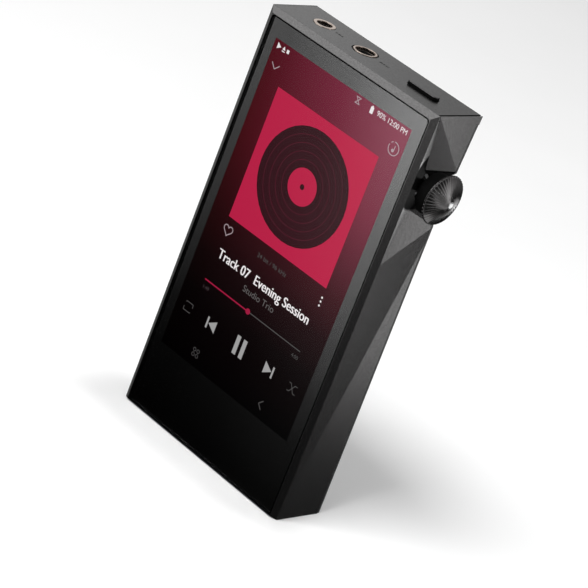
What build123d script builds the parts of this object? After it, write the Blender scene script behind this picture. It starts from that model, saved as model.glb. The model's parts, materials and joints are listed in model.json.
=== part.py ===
from build123d import *
import os

# Pocket digital audio player, upright on its bottom face.
# +Z is up, the screen faces -Y and the volume knob is on the +X side.
# The origin is the centre of the bottom face. Everything is in millimetres.

# ---------------------------------------------------------------- driving dimensions

body_width = 57.2
body_depth = 16.4
body_height = 108.3
half_width = body_width / 2
front = -body_depth / 2
back = body_depth / 2

slope_width = 1.5  # sloped band round the glass, seen from the front
slope_depth = 1.0
bottom_slope_width = 0.35
slope_start = front + slope_depth

glass_thickness = 0.8
glass_gap = 0.10
glass_lip = 0.12
glass_corner = 0.85
mask_thickness = 0.05
screen_width = 46.8
screen_height = screen_width * 16 / 9
screen_top = 102.2
screen_bottom = screen_top - screen_height

cover_thickness = 0.7
cover_top = 106.0
gasket_thickness = 0.15
housing_back = back - cover_thickness - gasket_thickness

cavity_half_width = 25.3
cavity_bottom = 2.4
cavity_top = 105.0
recess_wall_x = 22.4
frame_front = -5.5
frame_back = -4.9

cap_floor = 107.0
cap_bottom = 107.1
cap_left = -28.3
cap_right = 28.1
cap_seam = 0.25

knob_z = 89.0
knob_rim_radius = 6.7
knob_rim_x = 32.9
knob_tip_x = 35.6
knob_back_x = 28.95
knob_neck_radius = 2.7
knob_neck_x = 25.3
knob_flutes = 44
shaft_radius = 1.5
bushing_bore_radius = 1.55
bushing_radius = 2.2
recess_floor_x = 24.4
counterbore_floor_x = 24.2
counterbore_radius = 3.2

small_jack_x = -18.2
small_jack_radius = 1.85
large_jack_x = -4.0
large_jack_radius = 2.3
jack_y = 0.6
jack_mouth_z = 107.6

power_x = 16.3
power_length = 9.6
power_width = 2.2
power_height = 0.8
side_button_length = 8.0
side_button_width = 2.0
side_button_heights = {"next_button": 84.0, "play_button": 72.0, "previous_button": 60.0}
button_gap = 0.12

usb_width = 8.94
usb_height = 3.2
card_x = 13.5
card_y = -0.9
io_board_back = -usb_height / 2
io_board_front = io_board_back - 0.8

board_front = -4.3
board_back = -3.5


# ---------------------------------------------------------------- helpers

def slab(x_range, y_range, z_range, corner=0.0):
    """A plain block between two corners, its upright edges rounded by corner."""
    with BuildPart() as piece:
        with BuildSketch(Plane.XY.offset(z_range[0])):
            with Locations(((x_range[0] + x_range[1]) / 2, (y_range[0] + y_range[1]) / 2)):
                Rectangle(x_range[1] - x_range[0], y_range[1] - y_range[0])
        extrude(amount=z_range[1] - z_range[0])
        if corner:
            fillet(piece.edges().filter_by(Axis.Z), corner)
    return piece


def panel(x_range, z_range, y_range, corner=0.0):
    """A sheet parallel to the screen, its four corners rounded by corner."""
    with BuildPart() as piece:
        with BuildSketch(Plane.XZ.offset(-y_range[0])):
            with Locations(((x_range[0] + x_range[1]) / 2, (z_range[0] + z_range[1]) / 2)):
                Rectangle(x_range[1] - x_range[0], z_range[1] - z_range[0])
        extrude(amount=y_range[0] - y_range[1])
        if corner:
            fillet(piece.edges().filter_by(Axis.Y), corner)
    return piece


def tube(plane, outer, inner, length):
    """A ring or sleeve that grows from a plane along its normal."""
    with BuildPart() as piece:
        with BuildSketch(plane):
            Circle(outer)
            Circle(inner, mode=Mode.SUBTRACT)
        extrude(amount=length)
    return piece


def group(pieces):
    """Several separate solids of one kind, kept together."""
    with BuildPart() as together:
        for piece in pieces:
            add(piece.part)
    return together


def without(piece, *cutters):
    """A piece with other pieces cut out of it."""
    with BuildPart() as result:
        add(piece.part)
        for cutter in cutters:
            add(cutter.part, mode=Mode.SUBTRACT)
    return result


def facet(first, second, third):
    """The plane through three corners of the right side, facing away from the body."""
    origin = Vector(*first)
    normal = (Vector(*second) - origin).cross(Vector(*third) - origin)
    if normal.X < 0:
        normal = normal * -1
    return Plane(origin=origin, z_dir=normal)


def trimmed(block, planes):
    """A block with everything in front of each plane taken away."""
    with BuildPart() as piece:
        add(block.part)
        for plane in planes:
            split(bisect_by=plane, keep=Keep.BOTTOM)
    return piece


def pill(plane, length, width, height):
    """A round-ended bar that grows from a plane along its normal."""
    with BuildPart() as piece:
        with BuildSketch(plane):
            SlotOverall(length, width)
        extrude(amount=height)
    return piece


# ---------------------------------------------------------------- outer form

with BuildPart() as straight_block:
    with BuildSketch(Plane.XZ.offset(-slope_start)):
        with Locations((0, body_height / 2)):
            Rectangle(body_width, body_height)
    extrude(amount=slope_start - back)
    with BuildSketch(Plane.XZ.offset(-slope_start)):
        with Locations((0, body_height / 2)):
            Rectangle(body_width, body_height)
    with BuildSketch(Plane.XZ.offset(-front)):
        with Locations((0, (body_height - slope_width + bottom_slope_width) / 2)):
            Rectangle(body_width - 2 * slope_width, body_height - slope_width - bottom_slope_width)
    loft()

# Corners of the facets on the right side.
top_front = (half_width, slope_start, body_height)
top_back = (half_width, back, body_height)
bottom_front = (half_width, slope_start, 0.0)
bottom_back = (half_width, back, 0.0)
point = (half_width, slope_start, 70.0)
upper_ridge_back = (28.0, back, 93.1)
upper_ridge_front = (26.6, -1.9, 93.1)
lower_ridge_front = (26.75, -2.3, 83.2)
lower_ridge_back = (27.6, back, 79.0)
upper_recess_back = (upper_ridge_back[0] - 0.85, back, upper_ridge_back[2] - 1.0)
lower_recess_front = (lower_ridge_front[0] - 1.35, lower_ridge_front[1] + 3.56, lower_ridge_front[2] + 1.35)

front_wall_facet = facet(point, bottom_front, upper_ridge_front)
upper_side_facet = facet(top_front, top_back, upper_ridge_back)
upper_corner_facet = facet(top_front, upper_ridge_back, upper_ridge_front)
upper_recess_facet = facet(upper_ridge_back, upper_ridge_front, upper_recess_back)
lower_recess_facet = facet(lower_ridge_front, lower_ridge_back, lower_recess_front)
lower_corner_facet = facet(point, lower_ridge_front, lower_ridge_back)
lower_blade_facet = facet(point, bottom_front, lower_ridge_back)
lower_side_facet = facet(bottom_front, bottom_back, lower_ridge_back)
recess_floor = Plane(origin=(recess_floor_x, 0, 0), z_dir=(1, 0, 0))

form_parts = [
    trimmed(straight_block, [front_wall_facet]),
    trimmed(straight_block, [recess_floor]),
    trimmed(straight_block, [upper_side_facet, upper_corner_facet, upper_recess_facet]),
    trimmed(straight_block, [lower_corner_facet, lower_recess_facet, lower_blade_facet]),
    trimmed(straight_block, [lower_corner_facet, lower_recess_facet, lower_side_facet]),
]
outer_form = group(form_parts)

# ---------------------------------------------------------------- housing

pocket_half_width = half_width - slope_width - glass_lip
pocket_bottom = bottom_slope_width + glass_lip
pocket_top = body_height - slope_width - glass_lip
ledge = front + slope_depth
knob_plane = Plane(origin=(counterbore_floor_x, 0, knob_z), x_dir=(0, 1, 0), z_dir=(1, 0, 0))
boss_spans = [(-25.3, -20.3), (20.3, 25.3), (-13.8, -9.7), (2.5, 7.0)]
boss_bottoms = [cavity_bottom, cavity_bottom, 100.0, 100.0]
boss_tops = [7.4, 7.4, cavity_top, cavity_top]
boss_back = 1.5
screw_radius = 0.7
boss_centres = []
for span, low, high in zip(boss_spans, boss_bottoms, boss_tops):
    boss_centres.append(((span[0] + span[1]) / 2, (low + high) / 2))

with BuildPart() as main_housing:
    add(outer_form.part)
    # Cut back to the cover's seat.
    with BuildSketch(Plane.XZ.offset(-housing_back)):
        with Locations((0, cover_top / 2)):
            Rectangle(body_width + 10, cover_top)
    extrude(amount=housing_back - back, mode=Mode.SUBTRACT)
    # Pocket for the glass.
    with BuildSketch(Plane.XZ.offset(-front)):
        with Locations((0, (pocket_bottom + pocket_top) / 2)):
            RectangleRounded(2 * pocket_half_width, pocket_top - pocket_bottom, glass_corner + glass_gap)
    extrude(amount=front - ledge, mode=Mode.SUBTRACT)
    # Opening behind the glass.
    with BuildSketch(Plane.XZ.offset(-ledge)):
        with Locations((0, (cavity_bottom + cavity_top) / 2)):
            RectangleRounded(2 * cavity_half_width, cavity_top - cavity_bottom, 1.0)
    extrude(amount=ledge - frame_back, mode=Mode.SUBTRACT)
    # Main cavity, narrower behind the knob's recess.
    with BuildSketch(Plane.XZ.offset(-frame_back)):
        with BuildLine():
            Polyline(
                (-cavity_half_width, cavity_bottom),
                (cavity_half_width, cavity_bottom),
                (cavity_half_width, 75.5),
                (recess_wall_x, 78.5),
                (recess_wall_x, 97.0),
                (cavity_half_width, 100.0),
                (cavity_half_width, cavity_top),
                (-cavity_half_width, cavity_top),
                close=True,
            )
        make_face()
    extrude(amount=frame_back - housing_back, mode=Mode.SUBTRACT)
    # Bosses for the screws of the inner frame.
    for span, low, high in zip(boss_spans, boss_bottoms, boss_tops):
        with BuildSketch(Plane.XZ.offset(-frame_back)):
            with Locations(((span[0] + span[1]) / 2, (low + high) / 2)):
                Rectangle(span[1] - span[0], high - low)
        extrude(amount=frame_back - boss_back)
    with BuildSketch(Plane.XZ.offset(-frame_back)):
        with Locations(*boss_centres):
            Circle(screw_radius + 0.05)
    extrude(amount=frame_back - 0.5, mode=Mode.SUBTRACT)
    # Seat of the top plate.
    with BuildSketch(Plane.XY.offset(cap_floor)):
        with Locations(((cap_left + cap_right + cap_seam) / 2, (slope_start + back) / 2)):
            Rectangle(cap_right + cap_seam - cap_left, back - slope_start)
    extrude(amount=body_height - cap_floor, mode=Mode.SUBTRACT)
    # Round seat and hole for the volume control.
    with BuildSketch(knob_plane):
        Circle(counterbore_radius)
    extrude(amount=6.0, mode=Mode.SUBTRACT)
    with BuildSketch(knob_plane):
        Circle(bushing_radius + 0.05)
    extrude(amount=-3.0, mode=Mode.SUBTRACT)
    # Tiny window beside the knob.
    with BuildSketch(knob_plane):
        with Locations((0.9, -3.9)):
            Circle(0.3)
    extrude(amount=4.0, both=True, mode=Mode.SUBTRACT)
    # Jack and power button holes in the top wall.
    with BuildSketch(Plane.XY.offset(cavity_top - 0.5)):
        with Locations((small_jack_x, jack_y)):
            Circle(2.9)
        with Locations((large_jack_x, jack_y)):
            Circle(3.4)
        with Locations((power_x, 0)):
            SlotOverall(power_length + 2 * button_gap, power_width + 2 * button_gap)
    extrude(amount=cap_floor - cavity_top + 1.0, mode=Mode.SUBTRACT)
    # Connector slots in the bottom wall.
    with BuildSketch(Plane.XY.offset(-1.0)):
        SlotOverall(usb_width + 0.2, usb_height + 0.2)
        with Locations((card_x, card_y)):
            SlotOverall(11.8, 1.3)
    extrude(amount=cavity_bottom + 2.0, mode=Mode.SUBTRACT)
    # Holes for the three buttons on the left side.
    with BuildSketch(Plane.YZ.offset(-half_width - 1.0)):
        with Locations(*[(0, height) for height in side_button_heights.values()]):
            SlotOverall(side_button_length + 2 * button_gap, side_button_width + 2 * button_gap, rotation=90)
    extrude(amount=half_width - cavity_half_width + 1.5, mode=Mode.SUBTRACT)

# ---------------------------------------------------------------- top plate

with BuildPart() as top_cap:
    with BuildSketch(Plane.XY.offset(cap_bottom)):
        with Locations(((cap_left + cap_right) / 2, (slope_start + back) / 2)):
            Rectangle(cap_right - cap_left, back - slope_start)
        with Locations((small_jack_x, jack_y)):
            Circle(2.9, mode=Mode.SUBTRACT)
        with Locations((large_jack_x, jack_y)):
            Circle(3.4, mode=Mode.SUBTRACT)
        with Locations((power_x, 0)):
            SlotOverall(power_length + 2 * button_gap, power_width + 2 * button_gap, mode=Mode.SUBTRACT)
    extrude(amount=body_height - cap_bottom)

with BuildPart() as top_cap_gasket:
    with BuildSketch(Plane.XY.offset(cap_floor)):
        with Locations(((cap_left + cap_right + cap_seam) / 2, 0.5)):
            Rectangle(cap_right + cap_seam - cap_left, 14.2)
        with Locations((0, jack_y)):
            Rectangle(47.0, 9.4, mode=Mode.SUBTRACT)
    extrude(amount=cap_bottom - cap_floor)

# ---------------------------------------------------------------- glass and display

glass_back = front + glass_thickness
mask_back = glass_back + mask_thickness
glass_x = pocket_half_width - glass_gap
glass_z = (pocket_bottom + glass_gap, pocket_top - glass_gap)
front_glass = panel((-glass_x, glass_x), glass_z, (front, glass_back), glass_corner)

half_screen = screen_width / 2
mask_sheet = panel((-glass_x + 0.2, glass_x - 0.2), (glass_z[0] + 0.2, glass_z[1] - 0.2), (glass_back, mask_back), 0.7)
mask_window = panel((-half_screen, half_screen), (screen_bottom, screen_top), (glass_back - 1, mask_back + 1))
bezel_mask = without(mask_sheet, mask_window)

gasket_sheet = panel((-26.5, 26.5), (0.9, 106.2), (mask_back, ledge), 1.0)
gasket_window = panel((-25.4, 25.4), (2.3, 105.1), (mask_back - 1, ledge + 1), 0.8)
glass_gasket = without(gasket_sheet, gasket_window)

panel_back = mask_back + 1.0
light_back = panel_back + 0.7
display_panel = panel((-24.4, 24.4), (17.0, 104.0), (mask_back, panel_back), 0.4)
backlight_unit = panel((-24.4, 24.4), (17.0, 104.0), (panel_back, light_back), 0.4)
display_driver_board = panel((-12.0, 12.0), (6.0, 16.5), (-6.9, -6.1), 0.3)
display_flex = slab((-5.0, 5.0), (-6.1, io_board_front), (9.2, 9.35))

with BuildPart() as mid_frame:
    with BuildSketch(Plane.XZ.offset(-frame_front)):
        with Locations((0, (cavity_bottom + cavity_top) / 2)):
            RectangleRounded(2 * cavity_half_width - 0.4, cavity_top - cavity_bottom - 0.4, 0.8)
        # Slot for the display cable and three lightening windows.
        with Locations((0, 9.3)):
            RectangleRounded(12.0, 2.4, 0.5, mode=Mode.SUBTRACT)
        with Locations((-16.0, 90.0), (16.0, 70.0)):
            RectangleRounded(9.0, 9.0, 1.0, mode=Mode.SUBTRACT)
    extrude(amount=frame_front - frame_back)
    with Locations(*[Plane(origin=(x, frame_front, z), z_dir=(0, -1, 0)) for x, z in boss_centres]):
        CounterSinkHole(radius=screw_radius + 0.05, counter_sink_radius=1.45)

screw_shank = 3.8
mid_frame_screws = group(
    [
        tube(Plane(origin=(x, frame_front + 0.2, z), z_dir=(0, 1, 0)), screw_radius, 0.3, screw_shank)
        for x, z in boss_centres
    ]
)

# ---------------------------------------------------------------- back cover

# Outline of the rear edge: straight on the left, faceted and notched on the right.
back_outline = [
    (-half_width, 0.0),
    (half_width, 0.0),
    (lower_ridge_back[0], lower_ridge_back[2]),
    (recess_floor_x, 84.3),
    (recess_floor_x, 88.9),
    (upper_ridge_back[0], upper_ridge_back[2]),
    (half_width, body_height),
    (-half_width, body_height),
]


def back_sheet(inset, y_range):
    """A sheet that follows the rear outline, smaller than it by inset."""
    with BuildPart() as sheet:
        with BuildSketch(Plane.XZ.offset(-y_range[0])):
            with BuildLine():
                Polyline(*back_outline, close=True)
            make_face()
            offset(amount=-inset, kind=Kind.INTERSECTION)
        extrude(amount=y_range[0] - y_range[1])
        split(bisect_by=Plane.XY.offset(cover_top - inset), keep=Keep.BOTTOM)
    return sheet


back_cover = back_sheet(0.08, (back - cover_thickness, back))
with BuildPart() as back_gasket_hole:
    with BuildSketch(Plane.XZ.offset(-housing_back + 1)):
        with BuildLine():
            Polyline(
                (-26.2, 1.6), (26.2, 1.6), (26.2, 75.0), (23.2, 78.8),
                (23.2, 96.5), (26.2, 100.5), (26.2, 104.4), (-26.2, 104.4), close=True,
            )
        make_face()
    extrude(amount=-3.0)
back_gasket = without(back_sheet(0.5, (housing_back, back - cover_thickness)), back_gasket_hole)
antenna_flex = panel((-22.0, -2.0), (91.0, 103.0), (housing_back, back - cover_thickness), 1.0)

# ---------------------------------------------------------------- headphone jacks


def jack_body(x, half_box, box_bottom, bore_radius, nose_radius):
    """Moulded jack: a box on the board, a round nose in the top wall, a blind bore."""
    with BuildPart() as body:
        with BuildSketch(Plane.XY.offset(box_bottom)):
            with Locations((x, (board_back + jack_y + half_box) / 2)):
                Rectangle(2 * half_box, jack_y + half_box - board_back)
        extrude(amount=cavity_top - 0.1 - box_bottom)
        with BuildSketch(Plane.XY.offset(cavity_top - 0.1)):
            with Locations((x, jack_y)):
                Circle(nose_radius)
        extrude(amount=jack_mouth_z - cavity_top + 0.1)
        with BuildSketch(Plane.XY.offset(box_bottom + 0.6)):
            with Locations((x, jack_y)):
                Circle(bore_radius)
        extrude(amount=jack_mouth_z - box_bottom, mode=Mode.SUBTRACT)
    return body


def jack_contacts(x, half_box, heights):
    """Solder tabs on both sides of a jack, standing on the board."""
    tabs = []
    for side in (-1, 1):
        inner = x + side * half_box
        outer = inner + side * 0.35
        for height in heights:
            x_span = (min(inner, outer), max(inner, outer))
            tabs.append(slab(x_span, (board_back, 1.2), (height, height + 1.1)))
    return group(tabs)


small_box = 3.1
large_box = 4.1
jack_3_5_body = jack_body(small_jack_x, small_box, 94.0, small_jack_radius, 2.75)
jack_3_5_contacts = jack_contacts(small_jack_x, small_box, (95.2, 98.2, 101.2))
jack_4_4_body = jack_body(large_jack_x, large_box, 90.4, large_jack_radius, 3.0)
jack_4_4_contacts = jack_contacts(large_jack_x, large_box, (91.6, 94.6, 97.6))
small_mouth = Plane(origin=(small_jack_x, jack_y, jack_mouth_z), z_dir=(0, 0, 1))
large_mouth = Plane(origin=(large_jack_x, jack_y, jack_mouth_z), z_dir=(0, 0, 1))
ring_height = body_height - jack_mouth_z + 0.12
jack_3_5_ring = tube(small_mouth, 2.85, 1.95, ring_height)
jack_4_4_ring = tube(large_mouth, 3.05, 2.5, ring_height)
jack_4_4_collar = tube(large_mouth, 3.35, 3.08, body_height - jack_mouth_z - 0.3)
rings = [jack_3_5_ring, jack_4_4_ring]
for ring in rings:
    with ring:
        rim = ring.faces().sort_by(Axis.Z)[-1].edges()
        fillet(rim, 0.12)

# ---------------------------------------------------------------- volume control

with BuildPart() as volume_knob:
    with BuildSketch(Plane.XY):
        with BuildLine():
            Polyline(
                (knob_neck_x, shaft_radius),
                (knob_neck_x, knob_neck_radius),
                (knob_back_x, knob_neck_radius),
                (knob_back_x, 5.2),
                (knob_back_x + 0.7, 6.25),
                (knob_rim_x - 1.1, 6.25),
                (knob_rim_x - 0.7, knob_rim_radius),
                (knob_rim_x, knob_rim_radius),
                (knob_tip_x - 0.35, 1.1),
                (knob_tip_x - 0.75, 0.9),
                (knob_tip_x - 0.75, 0.0),
                (31.0, 0.0),
                (31.0, shaft_radius),
                close=True,
            )
        make_face()
    revolve(axis=Axis.X)

# Radial flutes: each is a wedge that deepens from the tip towards the rim.
flute_depth = 0.55
with BuildPart() as flute:
    with BuildSketch(Plane.YZ.offset(knob_rim_x - 0.8)):
        with BuildLine():
            Polyline((0, 6.9 - flute_depth), (0.38, 7.2), (-0.38, 7.2), close=True)
        make_face()
    with BuildSketch(Plane.YZ.offset(knob_rim_x + 0.5)):
        with BuildLine():
            Polyline((0, 6.0 - flute_depth), (0.38, 6.9), (-0.38, 6.9), close=True)
        make_face()
    loft()

with BuildPart() as flutes:
    with PolarLocations(0, knob_flutes):
        add(flute.part.rotate(Axis.Y, -90))
flute_ring = flutes.part.rotate(Axis.Y, 90)
with volume_knob:
    add(flute_ring, mode=Mode.SUBTRACT)
volume_knob.part = volume_knob.part.translate((0, 0, knob_z))

tip_plane = Plane(origin=(knob_tip_x - 0.75, 0, knob_z), z_dir=(1, 0, 0))
with BuildPart() as knob_center_disc:
    with BuildSketch(tip_plane):
        Circle(0.9)
    extrude(amount=0.75)
    fillet(knob_center_disc.faces().sort_by(Axis.X)[-1].edges(), 0.3)

encoder_face_x = 19.6
encoder_plane = Plane(origin=(encoder_face_x, 0, knob_z), x_dir=(0, 1, 0), z_dir=(1, 0, 0))
with BuildPart() as encoder_shaft:
    with BuildSketch(encoder_plane.offset(-3.0)):
        Circle(shaft_radius)
    extrude(amount=31.0 - encoder_face_x + 3.0)

encoder_bushing = tube(encoder_plane, bushing_radius, bushing_bore_radius, 25.0 - encoder_face_x)
with BuildPart() as encoder_body:
    with BuildSketch(encoder_plane.offset(-6.0)):
        RectangleRounded(7.0, 9.4, 0.5)
    extrude(amount=6.0)
    with BuildSketch(encoder_plane.offset(-3.8)):
        Circle(1.6)
    extrude(amount=5.0, mode=Mode.SUBTRACT)
with BuildPart() as encoder_bracket:
    with BuildSketch(encoder_plane):
        Rectangle(7.0, 10.6)
        Circle(bushing_radius, mode=Mode.SUBTRACT)
    extrude(amount=0.5)
with BuildPart() as encoder_nut:
    with BuildSketch(encoder_plane.offset(0.5)):
        RegularPolygon(3.2, 6)
        Circle(bushing_radius, mode=Mode.SUBTRACT)
    extrude(amount=1.4)
knob_light_ring = tube(knob_plane, 3.1, bushing_radius + 0.1, 0.7)
with BuildPart() as status_led:
    with BuildSketch(knob_plane.offset(-1.0)):
        with Locations((0.9, -3.9)):
            Circle(0.28)
    extrude(amount=2.1)

# ---------------------------------------------------------------- buttons and their switches

flange = 0.5
power_top = body_height + power_height
flange_top = cavity_top - 0.05
with BuildPart() as power_button:
    with BuildSketch(Plane.XY.offset(flange_top - flange)):
        with Locations((power_x, 0)):
            SlotOverall(power_length + 1.6, power_width + 1.6)
    extrude(amount=flange)
    with BuildSketch(Plane.XY.offset(flange_top)):
        with Locations((power_x, 0)):
            SlotOverall(power_length, power_width)
    extrude(amount=power_top - flange_top)
    fillet(power_button.faces().sort_by(Axis.Z)[-1].edges(), 0.2)

switch_gap = 0.45
switch_top = flange_top - flange - switch_gap
power_switch = slab((power_x - 2.2, power_x + 2.2), (-1.5, 1.5), (switch_top - 2.0, switch_top), 0.3)
bracket_low = switch_top - 2.0 - 0.6
bracket_base = slab((9.6, 22.0), (-2.0, 2.0), (bracket_low, bracket_low + 0.6))
bracket_ends = [slab((x, x + 0.6), (-2.0, 2.0), (bracket_low, cavity_top)) for x in (9.0, 22.0)]
power_key_bracket = group([bracket_base] + bracket_ends)


def side_button(height):
    """A round-ended key that shows on the left side and is held by a flange inside."""
    stem_start = -half_width - 0.25
    flange_start = -cavity_half_width + 0.05
    with BuildPart() as button:
        with BuildSketch(Plane.YZ.offset(stem_start)):
            with Locations((0, height)):
                SlotOverall(side_button_length, side_button_width, rotation=90)
        extrude(amount=flange_start - stem_start)
        fillet(button.faces().sort_by(Axis.X)[0].edges(), 0.2)
        with BuildSketch(Plane.YZ.offset(flange_start)):
            with Locations((0, height)):
                SlotOverall(side_button_length + 1.4, side_button_width + 1.4, rotation=90)
        extrude(amount=flange)
    return button


side_buttons = {name: side_button(height) for name, height in side_button_heights.items()}
side_switch_start = -cavity_half_width + 0.05 + flange + switch_gap
side_switches = group(
    [
        slab((side_switch_start, side_switch_start + 1.6), (-1.5, 1.5), (height - 2.0, height + 2.0))
        for height in side_button_heights.values()
    ]
)
side_board_x = side_switch_start + 1.6
side_key_board = slab((side_board_x, side_board_x + 0.4), (-2.0, 2.0), (55.0, 89.0))

# ---------------------------------------------------------------- boards and battery

standoff_points = [(-22.5, 67.5), (-12.0, 92.5), (3.0, 85.8), (19.0, 67.5)]
standoff_planes = [Plane(origin=(x, frame_back, z), z_dir=(0, 1, 0)) for x, z in standoff_points]
with BuildPart() as main_board:
    with BuildSketch(Plane.XZ.offset(-board_front)):
        with Locations((-1.4, 82.75)):
            RectangleRounded(46.4, 33.5, 0.8)
        with Locations(*standoff_points):
            Circle(0.7, mode=Mode.SUBTRACT)
    extrude(amount=board_front - board_back)
board_standoffs = group([tube(plane, 1.3, 0.7, board_front - frame_back) for plane in standoff_planes])
board_screws = group(
    [tube(Plane(origin=(x, board_back, z), z_dir=(0, 1, 0)), 1.2, 0.3, 0.6) for x, z in standoff_points]
)


def chip(x, z, width, height, thickness):
    """A chip soldered to the back of the main board."""
    x_span = (x - width / 2, x + width / 2)
    z_span = (z - height / 2, z + height / 2)
    return panel(x_span, z_span, (board_back, board_back + thickness))


processor = chip(6.8, 76.2, 12.0, 12.0, 1.2)
memory_chips = group([chip(16.6, z, 6.0, 5.6, 0.9) for z in (72.9, 79.5)])
dac_chips = group([chip(x, z, 5.0, 5.0, 0.9) for x in (-17.0, -9.0) for z in (74.5, 83.5)])
amplifier_chips = group([chip(x, 91.2, 2.6, 3.6, 0.8) for x in (-23.0, 11.3)])
power_capacitors = group([chip(-1.2, 70.0 + 4.0 * step, 2.0, 3.0, 1.6) for step in range(3)])
wireless_module = chip(5.9, 93.6, 6.0, 8.0, 1.6)


def shield_can(x_span, z_span, height):
    """A folded steel lid, open towards the board."""
    with BuildPart() as can:
        with BuildSketch(Plane.XZ.offset(-board_back)):
            with Locations(((x_span[0] + x_span[1]) / 2, (z_span[0] + z_span[1]) / 2)):
                Rectangle(x_span[1] - x_span[0], z_span[1] - z_span[0])
        extrude(amount=-height)
        front_face = can.faces().sort_by(Axis.Y)[0]
        offset(amount=-0.2, openings=front_face)
    return can


shield_can_digital = shield_can((0.2, 20.8), (69.0, 83.6), 2.2)
shield_can_audio = shield_can((-21.4, -4.0), (70.0, 88.2), 2.0)

battery_x = 21.4
battery_z = (17.0, 61.5)
battery_y = (-4.6, 4.2)
with BuildPart() as battery_cell:
    with BuildSketch(Plane.XY.offset(battery_z[0])):
        with Locations((0, (battery_y[0] + battery_y[1]) / 2)):
            RectangleRounded(2 * battery_x, battery_y[1] - battery_y[0], 1.6)
    extrude(amount=battery_z[1] - battery_z[0])
battery_protection_board = slab((-14.0, 14.0), (-3.3, -2.5), (61.7, 65.2))
battery_connector = slab((-6.0, -1.0), (board_back, -2.2), (66.8, 68.0))
battery_leads = group([slab((x, x + 0.8), (-3.2, -2.4), (65.2, 66.8), 0.2) for x in (-5.2, -3.9, -2.6)])

io_board = panel((-19.0, 19.9), (2.6, 16.5), (io_board_front, io_board_back), 0.5)
with BuildPart() as board_flex:
    with BuildSketch(Plane.YZ.offset(-18.0)):
        with BuildLine():
            Polyline(
                (io_board_front, 12.0),
                (io_board_front, 12.15),
                (-4.65, 14.4),
                (-4.65, 70.0),
                (-4.8, 70.0),
                (-4.8, 14.3),
                close=True,
            )
        make_face()
    extrude(amount=5.0)

usb_bottom = 0.4
usb_top = 7.6
usb_outer = pill(Plane.XY.offset(usb_bottom), usb_width, usb_height, usb_top - usb_bottom)
usb_inner = pill(Plane.XY.offset(usb_bottom - 1), usb_width - 0.6, usb_height - 0.6, usb_top - usb_bottom)
usb_c_shell = without(usb_outer, usb_inner)
usb_c_tongue = slab((-3.35, 3.35), (-0.35, 0.35), (1.2, usb_top - 1.0))

card_outer = slab((card_x - 6.3, card_x + 6.3), (io_board_back, -0.15), (2.5, 16.0))
card_inner = slab((card_x - 5.8, card_x + 5.8), (card_y - 0.5, card_y + 0.5), (2.0, 15.4))
microsd_socket = without(card_outer, card_inner)

# ---------------------------------------------------------------- write the pieces

pieces = {
    "main_housing": main_housing,
    "top_cap": top_cap,
    "top_cap_gasket": top_cap_gasket,
    "front_glass": front_glass,
    "bezel_mask": bezel_mask,
    "glass_gasket": glass_gasket,
    "display_panel": display_panel,
    "backlight_unit": backlight_unit,
    "display_driver_board": display_driver_board,
    "display_flex": display_flex,
    "mid_frame": mid_frame,
    "mid_frame_screws": mid_frame_screws,
    "back_cover": back_cover,
    "back_gasket": back_gasket,
    "antenna_flex": antenna_flex,
    "jack_3_5_body": jack_3_5_body,
    "jack_3_5_ring": jack_3_5_ring,
    "jack_3_5_contacts": jack_3_5_contacts,
    "jack_4_4_body": jack_4_4_body,
    "jack_4_4_ring": jack_4_4_ring,
    "jack_4_4_collar": jack_4_4_collar,
    "jack_4_4_contacts": jack_4_4_contacts,
    "volume_knob": volume_knob,
    "knob_center_disc": knob_center_disc,
    "encoder_shaft": encoder_shaft,
    "encoder_bushing": encoder_bushing,
    "encoder_nut": encoder_nut,
    "encoder_body": encoder_body,
    "encoder_bracket": encoder_bracket,
    "knob_light_ring": knob_light_ring,
    "status_led": status_led,
    "power_button": power_button,
    "power_switch": power_switch,
    "power_key_bracket": power_key_bracket,
    "side_switches": side_switches,
    "side_key_board": side_key_board,
    "main_board": main_board,
    "board_standoffs": board_standoffs,
    "board_screws": board_screws,
    "processor": processor,
    "memory_chips": memory_chips,
    "dac_chips": dac_chips,
    "amplifier_chips": amplifier_chips,
    "power_capacitors": power_capacitors,
    "wireless_module": wireless_module,
    "shield_can_digital": shield_can_digital,
    "shield_can_audio": shield_can_audio,
    "battery_cell": battery_cell,
    "battery_protection_board": battery_protection_board,
    "battery_leads": battery_leads,
    "battery_connector": battery_connector,
    "io_board": io_board,
    "board_flex": board_flex,
    "usb_c_shell": usb_c_shell,
    "usb_c_tongue": usb_c_tongue,
    "microsd_socket": microsd_socket,
}
pieces.update(side_buttons)

os.makedirs("parts", exist_ok=True)
for name, piece in pieces.items():
    piece.part.label = name
    export_step(piece.part, f"parts/{name}.step")
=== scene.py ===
import json
import math

import bmesh
import bpy
from mathutils import Matrix, Vector

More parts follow.
